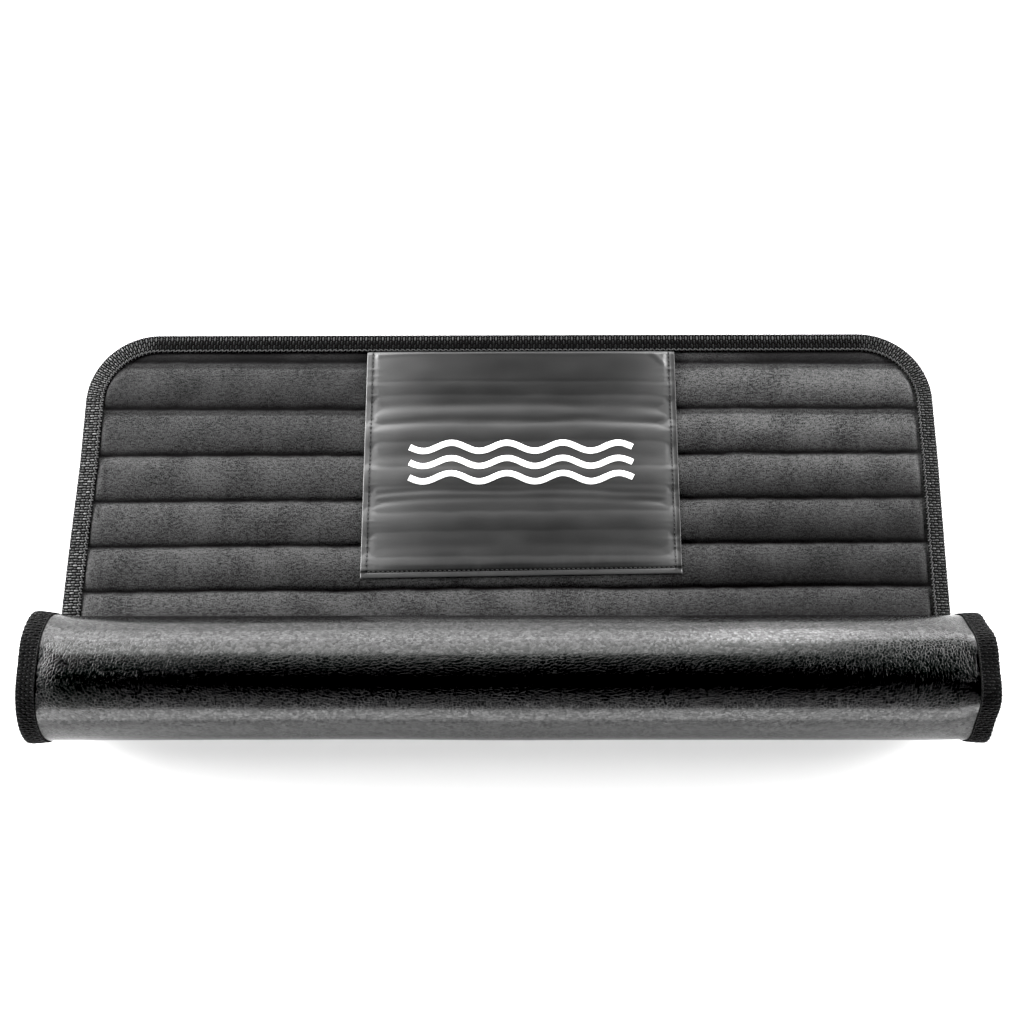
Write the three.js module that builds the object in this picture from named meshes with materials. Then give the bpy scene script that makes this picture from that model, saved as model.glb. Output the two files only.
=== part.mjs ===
// Rack pad: a quilted velour mat with a foam core and a grained vinyl back, bound all round with woven tape.
// It lies on its back, and the near end is curled up and over until its bound edge comes down on the mat.
// Sizes are in millimetres. X runs across the mat, Y from the curl to the far edge, +Z is up, and the
// ground is z = 0. Every piece is drawn on the unrolled mat and then bent with it:
//   u  across the mat from its centre line
//   s  along the mat from the far edge
//   n  through the mat from its underside
//   d  inwards from the bound edge, square to it
import * as THREE from 'three';

// Outline and lie of the mat
const matWidth = 914;
const cornerRadius = 76.5;
const flatRun = 383.5;
const curlRadius = 59.5;
const curlDegrees = 285;
const landingGap = 0.4;

// Layers, from the ground up
const backingThickness = 1.2;
const foamThickness = 6.5;
const velourThickness = 1.5;
const layerGap = 0.3;

// Quilting
const seamPitch = 50.5;
const firstSeam = 34.2;
const seamDepth = 3.5;
const crownRoundness = 0.6;
const quiltThreadSize = 0.8;

// Woven tape folded round the edge
const tapeWidth = 19.5;
const tapeThickness = 1.0;
const tapeFoldRounding = 1.2;
const squeezedFoam = 1.2;
const riseWidth = 7.5;
const tapeJointOffset = -165;
const tapeThreadSize = 0.7;
const tapeThreadInset = 3.0;

// Label patch sewn on the velour, its far edge caught under the tape
const patchWidth = 333;
const patchOffset = 14;
const patchThickness = 0.6;
const patchTuck = 8;
const patchLength = 250.5;
const patchSag = 0.5;
const hemWidth = 7;
const hemRise = 0.4;
const patchThreadSize = 0.6;
const patchThreadInset = 4.2;

// Printed waves on the patch
const waveCount = 3;
const waveSpan = 236;
const waveLength = 59;
const waveHeight = 4.5;
const waveStroke = 6.5;
const waveSpacing = 17;
const waveCentre = 149;
const inkThickness = 0.2;
const waveSteps = 32;

// Levels that follow from the layers
const foamTop = backingThickness + layerGap + foamThickness;
const crownTop = foamTop + layerGap + velourThickness;
const edgeLift = tapeThickness + layerGap;
const edgeFoamTop = edgeLift + backingThickness + layerGap + squeezedFoam;
const edgeTop = edgeFoamTop + layerGap + velourThickness;
const tapeLip = edgeTop + layerGap + patchThickness + layerGap;
const tapeTop = tapeLip + tapeThickness;
const fieldMargin = tapeWidth + riseWidth;

// Length of the mat: flat run, curl, and a straight tail that ends on the crowns of the quilting
const curlAngle = THREE.MathUtils.degToRad(curlDegrees);
const tailStart = flatRun + curlRadius * curlAngle;
const tailHeight = curlRadius * (1 - Math.cos(curlAngle));
const tailLength = (tailHeight - crownTop - landingGap) / -Math.sin(curlAngle);
const matLength = tailStart + tailLength;

// Unrolled mat to space. The roll turns about the X axis at y = 0, z = curlRadius.
function bend([u, s, n]) {
  if (s <= flatRun) return [u, flatRun - s, n];
  const angle = Math.min(s - flatRun, curlRadius * curlAngle) / curlRadius;
  const beyond = Math.max(0, s - tailStart);
  const radius = curlRadius - n;
  const y = -radius * Math.sin(angle) - beyond * Math.cos(angle);
  const z = curlRadius - radius * Math.cos(angle) + beyond * Math.sin(angle);
  return [u, y, z];
}

// Swell of a quilted channel: 0 on a seam, 1 midway between two seams
function swell(s) {
  const turn = (s - firstSeam) / seamPitch;
  return Math.abs(Math.sin(Math.PI * turn)) ** crownRoundness;
}

const blend = THREE.MathUtils.lerp;
const rise = (d) => THREE.MathUtils.clamp((d - tapeWidth) / riseWidth, 0, 1);
const velourTop = (d, s) => blend(edgeTop, crownTop - seamDepth * (1 - swell(s)), rise(d));
const velourBottom = (d, s) => velourTop(d, s) - velourThickness;
const foamUpper = (d, s) => velourBottom(d, s) - layerGap;
const backingBottom = (d) => (d < tapeWidth + layerGap * 2 ? edgeLift : 0);
const backingTop = (d) => backingBottom(d) + backingThickness;

// Seams that clear the squeezed border at both ends
function seamRows() {
  const rows = [];
  for (let s = firstSeam; s < matLength - fieldMargin - layerGap; s += seamPitch) {
    if (s > fieldMargin + layerGap) rows.push(s);
  }
  return rows;
}

// Rows across the quilted field, as distances along the mat. Each channel is cut at the same shares of
// its pitch, and the corners add a row every few degrees. Rows closer than a minimum are merged.
const channelShares = [0, 0.08, 0.27, 0.5, 0.73, 0.92];
const cornerStep = THREE.MathUtils.degToRad(15);
const rowSpacing = 1.6;

function fieldRows() {
  const first = fieldMargin;
  const last = matLength - fieldMargin;
  const innerRadius = cornerRadius - fieldMargin;
  const fixed = [first, last, flatRun, tailStart, ...seamRows()];
  const wanted = [];
  for (let a = cornerStep; a < Math.PI / 2 + 0.01; a += cornerStep) {
    const reach = cornerRadius - innerRadius * Math.cos(a);
    wanted.push(reach, matLength - reach);
  }
  for (let seam = firstSeam - seamPitch; seam < matLength; seam += seamPitch) {
    for (const share of channelShares) wanted.push(seam + share * seamPitch);
  }
  const rows = fixed.filter((s) => s >= first && s <= last);
  for (const s of wanted) {
    const clear = rows.every((row) => Math.abs(row - s) >= rowSpacing);
    if (s > first && s < last && clear) rows.push(s);
  }
  return rows.sort((a, b) => a - b);
}

// A station stands on the bound edge of the right half, with its inward direction
function station(s) {
  const innerRadius = cornerRadius - fieldMargin;
  const centreU = matWidth / 2 - cornerRadius;
  const far = cornerRadius;
  const near = matLength - cornerRadius;
  if (s >= far && s <= near) return { u: matWidth / 2, s, du: -1, ds: 0 };
  const centreS = s < far ? far : near;
  const along = THREE.MathUtils.clamp((s - centreS) / innerRadius, -1, 1);
  const out = Math.sqrt(1 - along * along);
  return { u: centreU + cornerRadius * out, s: centreS + cornerRadius * along, du: -out, ds: -along };
}

const at = (stop, d, side) => [side * (stop.u + stop.du * d), stop.s + stop.ds * d];

const quiltStations = fieldRows().map(station);
const isPlain = (stop) => stop.s > cornerRadius && stop.s < flatRun;
const edgeStations = quiltStations.filter((stop) => !isPlain(stop));

// Points and triangles to a mesh whose faces point out
function solid(name, points, triangles, colour, roughness) {
  const bent = points.map(bend);
  let volume = 0;
  for (const [a, b, c] of triangles) {
    const [p, q, r] = [a, b, c].map((i) => new THREE.Vector3(...bent[i]));
    volume += p.dot(q.cross(r));
  }
  const index = triangles.flatMap(([a, b, c]) => (volume > 0 ? [a, b, c] : [a, c, b]));
  const geometry = new THREE.BufferGeometry();
  geometry.setAttribute('position', new THREE.Float32BufferAttribute(bent.flat(), 3));
  geometry.setIndex(index);
  geometry.computeVertexNormals();
  const material = new THREE.MeshStandardMaterial({ color: colour, roughness, metalness: 0 });
  const mesh = new THREE.Mesh(geometry, material);
  mesh.name = name;
  return mesh;
}

// Layer of the mat between two level functions of (d, s), with rings at the given depths. Each row
// crosses the mat from the right edge to the left one, and the end runs close the far and near edges.
function layer(name, stations, depths, low, high, colour, roughness) {
  const points = [];
  const triangles = [];
  const half = depths.length;
  const across = 2 * half;
  for (const level of [low, high]) {
    for (const stop of stations) {
      const right = depths.map((d) => [...at(stop, d, 1), level(d, stop.s + stop.ds * d)]);
      const left = right.map(([u, s, n]) => [-u, s, n]).reverse();
      points.push(...right, ...left);
    }
  }
  const sheet = stations.length * across;
  const quad = (a, b, c, d) => triangles.push([a, b, c], [a, c, d]);
  const both = (a, b, c, d) => {
    quad(a + sheet, b + sheet, c + sheet, d + sheet);
    quad(a, d, c, b);
  };
  const last = (stations.length - 1) * across;
  for (let row = 0; row < last; row += across) {
    for (let i = 0; i < across - 1; i += 1) {
      both(row + i, row + i + 1, row + i + 1 + across, row + i + across);
    }
    quad(row, row + sheet, row + across + sheet, row + across);
    const left = row + across - 1;
    quad(left, left + across, left + across + sheet, left + sheet);
  }
  for (let i = 0; i < half - 1; i += 1) {
    both(i, across - 1 - i, across - 2 - i, i + 1);
    both(last + i, last + i + 1, last + across - 2 - i, last + across - 1 - i);
  }
  quad(0, across - 1, sheet + across - 1, sheet);
  quad(last, last + sheet, last + sheet + across - 1, last + across - 1);
  return solid(name, points, triangles, colour, roughness);
}

// Piece carried from section to section. Each section is a ring of [u, s, n] points; the two ends are
// closed by the triangles that fill the section's own outline.
function carried(name, sections, outline, colour, roughness) {
  const size = sections[0].length;
  const triangles = [];
  for (let k = 0; k < sections.length - 1; k += 1) {
    for (let i = 0; i < size; i += 1) {
      const a = k * size + i;
      const b = k * size + ((i + 1) % size);
      triangles.push([a, b, b + size], [a, b + size, a + size]);
    }
  }
  const contour = outline.map(([x, y]) => new THREE.Vector2(x, y));
  const last = (sections.length - 1) * size;
  const area = THREE.ShapeUtils.area(contour);
  const follows = (fill) => THREE.ShapeUtils.area(fill.map((i) => contour[i])) * area > 0;
  for (const fill of THREE.ShapeUtils.triangulateShape(contour, [])) {
    const [a, b, c] = follows(fill) ? fill : fill.reverse();
    triangles.push([c, b, a], [last + a, last + b, last + c]);
  }
  return solid(name, sections.flat(), triangles, colour, roughness);
}

// Thread or ribbon with a square section: centre points [u, s], width, and the levels of its two faces
function ribbon(name, path, width, low, high, colour, roughness) {
  const sections = path.map(([u, s], k) => {
    const before = path[Math.max(0, k - 1)];
    const after = path[Math.min(path.length - 1, k + 1)];
    const inRun = new THREE.Vector2(u - before[0], s - before[1]).normalize();
    const outRun = new THREE.Vector2(after[0] - u, after[1] - s).normalize();
    const run = inRun.clone().add(outRun).normalize();
    const reach = width / 2 / Math.max(0.5, run.dot(k > 0 ? inRun : outRun));
    const left = [u - run.y * reach, s + run.x * reach];
    const right = [u + run.y * reach, s - run.x * reach];
    const lower = [[...left, low(...left)], [...right, low(...right)]];
    return [...lower, [...right, high(...right)], [...left, high(...left)]];
  });
  return carried(name, sections, [[0, 0], [1, 0], [1, 1], [0, 1]], colour, roughness);
}

function velourFace() {
  const depths = [tapeThickness + layerGap, tapeWidth, fieldMargin];
  return layer('velour_face', quiltStations, depths, velourBottom, velourTop, 0x2b2b2e, 0.95);
}

function foamCore() {
  const depths = [tapeThickness + layerGap * 4, tapeWidth, fieldMargin];
  const low = (d) => backingTop(d) + layerGap;
  return layer('foam_core', quiltStations, depths, low, foamUpper, 0x8a8a86, 0.9);
}

function grainedBacking() {
  const depths = [tapeThickness + layerGap, tapeWidth + layerGap, tapeWidth + riseWidth];
  return layer('grained_backing', edgeStations, depths, backingBottom, backingTop, 0x1c1c1e, 0.42);
}

// Tape section as [d, n]: a flap under the mat, a rounded fold at the edge and a flap on the velour
function tapeOutline() {
  const r = tapeFoldRounding;
  return [
    [tapeWidth, 0],
    [r, 0],
    [0, r],
    [0, tapeTop - r],
    [r, tapeTop],
    [tapeWidth, tapeTop],
    [tapeWidth, tapeLip],
    [tapeThickness, tapeLip],
    [tapeThickness, tapeThickness],
    [tapeWidth, tapeThickness],
  ];
}

// Round the edge from the tape's joint: right along the far edge, down the right side, back up the left
function roundTheEdge() {
  const right = edgeStations.map((stop) => ({ ...stop }));
  const left = right.map(({ u, s, du, ds }) => ({ u: -u, s, du: -du, ds })).reverse();
  const start = { u: tapeJointOffset, s: 0, du: 0, ds: 1 };
  const end = { ...start, u: tapeJointOffset - layerGap };
  return [start, ...right, ...left, end];
}

function edgeTape() {
  const outline = tapeOutline();
  const sections = roundTheEdge().map((stop) => outline.map(([d, n]) => [...at(stop, d, 1), n]));
  return carried('edge_tape', sections, outline, 0x26262a, 0.6);
}

function tapeThread() {
  const path = roundTheEdge().map((stop) => at(stop, tapeWidth - tapeThreadInset, 1));
  const low = () => tapeTop + layerGap;
  const high = () => tapeTop + layerGap + tapeThreadSize;
  return ribbon('tape_thread', path, tapeThreadSize, low, high, 0x1a1a1c, 0.7);
}

// Quilting threads lie in their grooves, up to the tape on the sides and to the squeezed border at a corner
function quiltThreads() {
  return seamRows().map((s, k) => {
    const stop = station(s);
    const depth = stop.ds === 0 ? tapeWidth + layerGap : fieldMargin;
    const [end] = at(stop, depth, 1);
    const low = () => crownTop - seamDepth + layerGap;
    const high = () => low() + quiltThreadSize;
    const name = `quilt_thread_${String(k + 1).padStart(2, '0')}`;
    return ribbon(name, [[end, s], [-end, s]], quiltThreadSize, low, high, 0x151517, 0.8);
  });
}

// The patch spans the grooves: it sinks only part of the way into them
const patchLeft = patchOffset - patchWidth / 2;
const patchRight = patchOffset + patchWidth / 2;
const patchStart = tapeWidth - patchTuck;
const patchEnd = tapeWidth + patchLength;
function patchLow(s) {
  const field = crownTop - seamDepth * (1 - Math.max(swell(s), patchSag));
  return blend(edgeTop, field, rise(s)) + layerGap;
}

function patchRows() {
  const hemRows = [patchEnd - hemWidth - hemRise, patchEnd - hemWidth, patchEnd];
  const field = fieldRows().filter((s) => s < patchEnd - hemWidth - rowSpacing);
  return [patchStart, tapeWidth, ...field, ...hemRows];
}

// Level of the patch's face at s, along the straight lines between its rows
function patchFace(s) {
  const rows = patchRows();
  const k = THREE.MathUtils.clamp(rows.findIndex((row) => row >= s), 1, rows.length - 1);
  const share = (s - rows[k - 1]) / (rows[k] - rows[k - 1]);
  return blend(patchLow(rows[k - 1]), patchLow(rows[k]), share) + patchThickness;
}

function labelPatch() {
  const hem = (s) => (s < fieldMargin ? 0 : hemRise);
  const sections = patchRows().map((s) => {
    const low = patchLow(s);
    const high = low + patchThickness;
    const edge = high + hem(s);
    const middle = s > patchEnd - hemWidth - hemRise / 2 ? edge : high;
    return [
      [patchLeft, s, low],
      [patchRight, s, low],
      [patchRight, s, edge],
      [patchRight - hemWidth, s, edge],
      [patchRight - hemWidth - hemRise, s, middle],
      [patchLeft + hemWidth + hemRise, s, middle],
      [patchLeft + hemWidth, s, edge],
      [patchLeft, s, edge],
    ];
  });
  const outline = sections.at(-1).map(([u, , n]) => [u, n]);
  return carried('label_patch', sections, outline, 0x35353a, 0.5);
}

function patchThread() {
  const left = patchLeft + patchThreadInset;
  const right = patchRight - patchThreadInset;
  const end = patchEnd - patchThreadInset;
  const rows = patchRows().filter((s) => s >= fieldMargin && s < end - patchThreadInset / 2);
  const down = rows.map((s) => [left, s]);
  const up = rows.map((s) => [right, s]).reverse();
  const path = [...down, [left, end], [right, end], ...up];
  const low = (u, s) => patchFace(s) + hemRise + layerGap;
  const high = (u, s) => low(u, s) + patchThreadSize;
  return ribbon('patch_thread', path, patchThreadSize, low, high, 0x111113, 0.75);
}

// Waves of ink that ride on the patch's face
function printedWave(k) {
  const middle = waveCentre + (k - (waveCount - 1) / 2) * waveSpacing;
  const path = [];
  for (let i = 0; i <= waveSteps; i += 1) {
    const along = (i / waveSteps - 0.5) * waveSpan;
    path.push([patchOffset + along, middle + waveHeight * Math.sin((2 * Math.PI * along) / waveLength)]);
  }
  const low = (u, s) => patchFace(s) + layerGap;
  const high = (u, s) => low(u, s) + inkThickness;
  return ribbon(`printed_wave_${k + 1}`, path, waveStroke, low, high, 0xe8e8e8, 0.6);
}

const pad = new THREE.Group();
pad.add(velourFace(), foamCore(), grainedBacking(), edgeTape(), tapeThread(), ...quiltThreads());
pad.add(labelPatch(), patchThread());
for (let k = 0; k < waveCount; k += 1) {
  pad.add(printedWave(k));
}

// Origin on the ground, under the middle of the whole mat as it lies
pad.position.y = -(flatRun - curlRadius) / 2;

export default pad;
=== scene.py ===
import bpy
import numpy as np
from mathutils import Matrix, Vector


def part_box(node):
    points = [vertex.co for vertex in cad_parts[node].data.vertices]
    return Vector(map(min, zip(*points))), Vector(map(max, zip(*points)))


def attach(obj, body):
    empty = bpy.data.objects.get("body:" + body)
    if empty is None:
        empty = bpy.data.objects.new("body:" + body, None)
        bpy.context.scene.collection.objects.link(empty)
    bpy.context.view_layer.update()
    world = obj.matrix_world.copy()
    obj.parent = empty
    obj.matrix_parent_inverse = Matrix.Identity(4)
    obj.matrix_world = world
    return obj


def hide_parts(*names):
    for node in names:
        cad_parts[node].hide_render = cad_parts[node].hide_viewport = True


# Quilted rack pad: velour over foam on a grained vinyl back, bound with woven tape, near end curled over.
# Surfaces are worked out in millimetres on the unrolled mat and then bent with it:
#   u across the mat, s along it from the far edge, n up through it from its underside

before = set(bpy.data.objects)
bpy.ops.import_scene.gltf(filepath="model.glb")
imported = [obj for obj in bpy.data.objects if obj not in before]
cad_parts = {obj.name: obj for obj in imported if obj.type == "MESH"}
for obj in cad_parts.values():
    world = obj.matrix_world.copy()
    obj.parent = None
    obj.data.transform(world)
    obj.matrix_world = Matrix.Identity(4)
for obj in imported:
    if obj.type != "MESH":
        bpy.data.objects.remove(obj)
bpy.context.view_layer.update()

mat = {
    "width": 914.0,
    "cornerRadius": 76.5,
    "flatRun": 383.5,            # far edge to the start of the curl
    "curlRadius": 59.5,
    "curlTurn": np.radians(285.0),
    "landingGap": 0.4,
    "backing": 1.2,              # layer thicknesses
    "foam": 6.5,
    "velour": 1.5,
    "layerGap": 0.3,
    "squeezedFoam": 1.2,
    "stretch": 1.002,            # the real mat is a touch wider than cut
    "bow": 3.2,                  # how far the flat sides stray to the left
    "bowSkew": 0.3,              # less of it on the right side, more on the left
    "bowStart": 150.0,
    "bowLength": 420.0,
    "bowInner": 300.0,           # nearer to the middle than this the mat stays straight
    "bowReach": 150.0,
}

# How the curl strays from a true round, in mm and in radians of its turn
curl = {
    "endReach": 45.0,            # how far in from its two ends they are uneven
    "endFrom": 0.87, "endRise": 0.79,
    "leftFlatten": 4.0,
    "leftFarSwell": 5.5, "leftFarRise": 0.7,
    "rightSwell": 2.4,
    "rightCorners": 6.9, "rightPlace": 1.78,
    "farSwell": 2.2,             # where it turns down on its far side
    "farFrom": 3.85, "farRise": 0.55,
    "farTo": 4.9, "farFall": 0.45,
    "sway": 0.5,                 # slow wander of the whole skin
    "swayAcross": 130.0, "swayAlong": 60.0,
    "settle": 60.0,              # run over which all this comes in and dies out again
}
halfWidth = mat["width"] / 2
corner = mat["cornerRadius"]
crownTop = mat["backing"] + mat["foam"] + mat["velour"] + 2 * mat["layerGap"]
tailStart = mat["flatRun"] + mat["curlRadius"] * mat["curlTurn"]
tailHeight = mat["curlRadius"] * (1 - np.cos(mat["curlTurn"])) - crownTop - mat["landingGap"]
matLength = tailStart + tailHeight / -np.sin(mat["curlTurn"])
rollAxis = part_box("edge_tape")[1].y * 1000 - mat["flatRun"]


# Smooth step from 0 to 1 while x goes from 0 to 1
def smooth(x):
    x = np.clip(x, 0, 1)
    return x * x * (3 - 2 * x)


# Soft noise from -1 to 1: random numbers on a unit lattice, joined by smooth steps
def softNoise(x, y, seed):
    lattice = np.random.default_rng(seed).uniform(-1, 1, (97, 97))
    x, y = np.broadcast_arrays(np.asarray(x, float), np.asarray(y, float))
    column, row = np.floor(x).astype(int), np.floor(y).astype(int)
    across, along = smooth(x - column), smooth(y - row)
    pick = lambda i, j: lattice[(column + i) % 97, (row + j) % 97]
    near = pick(0, 0) * (1 - across) + pick(1, 0) * across
    far = pick(0, 1) * (1 - across) + pick(1, 1) * across
    return near * (1 - along) + far * along


# Swell of the curl at its two ends, where the stiff tape will not turn round evenly: a flattened round
# on the left, a round with soft corners on the right
def endSwell(u, turn):
    left = curl["leftFarSwell"] * smooth((turn - np.pi) / curl["leftFarRise"])
    left = left - curl["leftFlatten"] * np.cos(2 * turn)
    right = curl["rightSwell"] * (1 + np.cos(curl["rightCorners"] * (turn - curl["rightPlace"])))
    share = smooth((np.abs(u) - halfWidth) / curl["endReach"] + 1)
    return np.where(u < 0, left, right) * share * smooth((turn - curl["endFrom"]) / curl["endRise"])


# Swell of the curl along its whole width, where it turns down on its far side
def farSwell(turn):
    rise = smooth((turn - curl["farFrom"]) / curl["farRise"])
    return curl["farSwell"] * rise * smooth((curl["farTo"] - turn) / curl["farFall"])


# Unrolled mat to space, in metres: flat up to the curl, then round the roll's axis, then straight on.
# The flat sides bow a little to the left before the curl.
def bend(u, s, n):
    u, s, n = np.broadcast_arrays(u, s, n)
    turn = np.clip(s - mat["flatRun"], 0, tailStart - mat["flatRun"]) / mat["curlRadius"]
    beyond = np.maximum(s - tailStart, 0)
    sway = curl["sway"] * softNoise(u / curl["swayAcross"], s / curl["swayAlong"], 5)
    swell = endSwell(u, turn) + farSwell(turn) - sway * smooth((s - mat["flatRun"]) / curl["settle"])
    radius = mat["curlRadius"] - n + swell * smooth((tailStart - s) / curl["settle"])
    bow = mat["bow"] * np.sin(np.pi * np.clip((s - mat["bowStart"]) / mat["bowLength"], 0, 1))
    u = u - bow * (1 - mat["bowSkew"] * np.sign(u)) * smooth((np.abs(u) - mat["bowInner"]) / mat["bowReach"])
    flat = np.maximum(mat["flatRun"] - s, 0)
    y = rollAxis + flat - radius * np.sin(turn) - beyond * np.cos(turn)
    z = mat["curlRadius"] - radius * np.cos(turn) + beyond * np.sin(turn)
    return np.stack([u * mat["stretch"], y, z], -1) * 0.001


# Distance in from the bound edge, along the rounded outline's own normal
def edgeDistance(u, s):
    x = np.abs(u) - (halfWidth - corner)
    y = np.abs(s - matLength / 2) - (matLength / 2 - corner)
    past = np.hypot(np.maximum(x, 0), np.maximum(y, 0))
    return corner - past - np.minimum(np.maximum(x, y), 0)


# Half the mat's width at s, for an outline that lies inset from the edge
def halfAt(s, inset):
    past = np.maximum(corner - np.minimum(s, matLength - s), 0)
    return halfWidth - corner + np.sqrt(np.maximum((corner - inset) ** 2 - past**2, 0))


# Mesh from points [u, s, n] and faces, bent into place. A mesh that comes out inside out is turned round.
def makePiece(name, unrolled, faces, materials, faceMaterial=None, values=None):
    unrolled = np.asarray(unrolled, float).reshape(-1, 3)
    points = bend(*unrolled.T)
    volume = 0.0
    for group in faces:
        for k in range(1, group.shape[1] - 1):
            a, b, c = points[group[:, 0]], points[group[:, k]], points[group[:, k + 1]]
            volume += np.einsum("ij,ij->", a, np.cross(b, c))
    if volume < 0:
        faces = [group[:, ::-1] for group in faces]
    corners = np.concatenate([group.ravel() for group in faces])
    counts = np.concatenate([np.full(len(group), group.shape[1]) for group in faces])
    mesh = bpy.data.meshes.new(name)
    mesh.vertices.add(len(points))
    mesh.vertices.foreach_set("co", points.astype(np.float32).ravel())
    mesh.loops.add(len(corners))
    mesh.loops.foreach_set("vertex_index", corners.astype(np.int32))
    mesh.polygons.add(len(counts))
    mesh.polygons.foreach_set("loop_start", (np.cumsum(counts) - counts).astype(np.int32))
    if faceMaterial is not None:
        mesh.polygons.foreach_set("material_index", np.asarray(faceMaterial, np.int32))
    mesh.update(calc_edges=True)
    flat = mesh.uv_layers.new(name="unrolled")
    flat.data.foreach_set("uv", (unrolled[corners, :2] * 0.001).astype(np.float32).ravel())
    for key, value in (values or {}).items():
        mesh.attributes.new(key, "FLOAT", "POINT").data.foreach_set("value", value.astype(np.float32))
    mesh.shade_smooth()
    for material in materials:
        mesh.materials.append(material)
    piece = bpy.data.objects.new(name, mesh)
    bpy.context.scene.collection.objects.link(piece)
    return piece


# Four-cornered faces of a grid of points, row by row
def gridFaces(rows, columns, start=0):
    index = start + np.arange(rows * columns).reshape(rows, columns)
    return np.stack([index[:-1, :-1], index[:-1, 1:], index[1:, 1:], index[1:, :-1]], -1).reshape(-1, 4)


# Layer between a top and a low face over the same rows, from left to right, and a wall all round. Each
# face is given as its columns' shares of the width and a function for its level, and slide shifts s.
def makeLayer(name, rows, left, right, top, low, slide, material, values=None):
    def face(shares, level):
        u = left[:, None] + (right - left)[:, None] * shares[None, :]
        s = rows[:, None] + slide(u, rows[:, None])
        return np.stack([u, s, level(u, s)], -1).reshape(-1, 3)

    points = np.concatenate([face(*top), face(*low)])
    count, across, below = len(rows), len(top[0]), len(low[0])
    start = count * across
    top = np.arange(start).reshape(count, across)
    low = start + np.arange(count * below).reshape(count, below)
    wallLeft = np.stack([top[:-1, 0], top[1:, 0], low[1:, 0], low[:-1, 0]], -1)
    wallRight = np.stack([top[:-1, -1], low[:-1, -1], low[1:, -1], top[1:, -1]], -1)
    farEnd = np.concatenate([top[0, ::-1], low[0]])[None, :]
    nearEnd = np.concatenate([top[-1], low[-1, ::-1]])[None, :]
    faces = [gridFaces(count, across), gridFaces(count, below, start)[:, ::-1]]
    faces += [wallLeft, wallRight, farEnd, nearEnd]
    worked = {key: rule(points[:, 0], points[:, 1]) for key, rule in (values or {}).items()}
    return makePiece(name, points, faces, [material], values=worked)


# Small spindles, each a pair of tips with rings of four points between at its stops: their points' places
# along and across, their heights over the spindle's middle and their faces
def spindles(along, across, turn, length, width, low, high, stops=(-0.62, 0, 0.62)):
    rings = len(stops)
    share = np.repeat(stops, 4)
    girth = np.sqrt(1 - share**2)
    a = np.concatenate([[-1], share, [1]]) * length / 2
    b = np.concatenate([[0], girth * np.tile([1, 0, -1, 0], rings), [0]]) * width / 2
    lift = np.concatenate([[0], girth * np.tile([0, 1, 0, -1], rings), [0]])
    turn = (np.asarray(turn, float) + 0 * along)[:, None]
    x = along[:, None] + a * np.cos(turn) - b * np.sin(turn)
    y = across[:, None] + a * np.sin(turn) + b * np.cos(turn)
    up = np.where(lift > 0, lift * high, -lift * low) + 0 * x
    ring = np.arange(4)
    after = (ring + 1) % 4
    last = 4 * rings - 3
    nearTip = np.stack([0 * ring, 1 + ring, 1 + after], -1)
    farTip = np.stack([0 * ring + 4 * rings + 1, last + after, last + ring], -1)
    shift = (4 * rings + 2) * np.arange(len(along))[:, None, None]
    faces = [(np.concatenate([nearTip, farTip])[None] + shift).reshape(-1, 3)]
    for k in range(1, last, 4):
        belt = np.stack([k + ring, k + 4 + ring, k + 4 + after, k + after], -1)
        faces.append((belt[None] + shift).reshape(-1, 4))
    return x, y, up, faces


# Colours are sRGB hex values, turned to the linear ones that the nodes take. The sizes in each finish
# are in mm.
def colour(code):
    part = np.array([int(code[k : k + 2], 16) for k in (1, 3, 5)]) / 255
    linear = np.where(part <= 0.04045, part / 12.92, ((part + 0.055) / 1.055) ** 2.4)
    return (*linear.tolist(), 1.0)


# One node with its settings, and its inputs linked to a socket or set to a value
def addNode(tree, kind, inputs, **settings):
    made = tree.nodes.new(kind)
    for key, value in settings.items():
        setattr(made, key, value)
    for key, value in inputs.items():
        if isinstance(value, bpy.types.NodeSocket):
            tree.links.new(value, made.inputs[key])
        else:
            made.inputs[key].default_value = value
    return made


# New material with its even surface values, its node tree, shader and map of the unrolled mat
def newMaterial(name, surface):
    material = bpy.data.materials.new(name)
    material.use_nodes = True
    tree = material.node_tree
    shader = tree.nodes["Principled BSDF"]
    for key, value in surface.items():
        shader.inputs[key].default_value = value
    unrolled = addNode(tree, "ShaderNodeUVMap", {}, uv_map="unrolled").outputs["UV"]
    return material, tree, shader, unrolled


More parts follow.
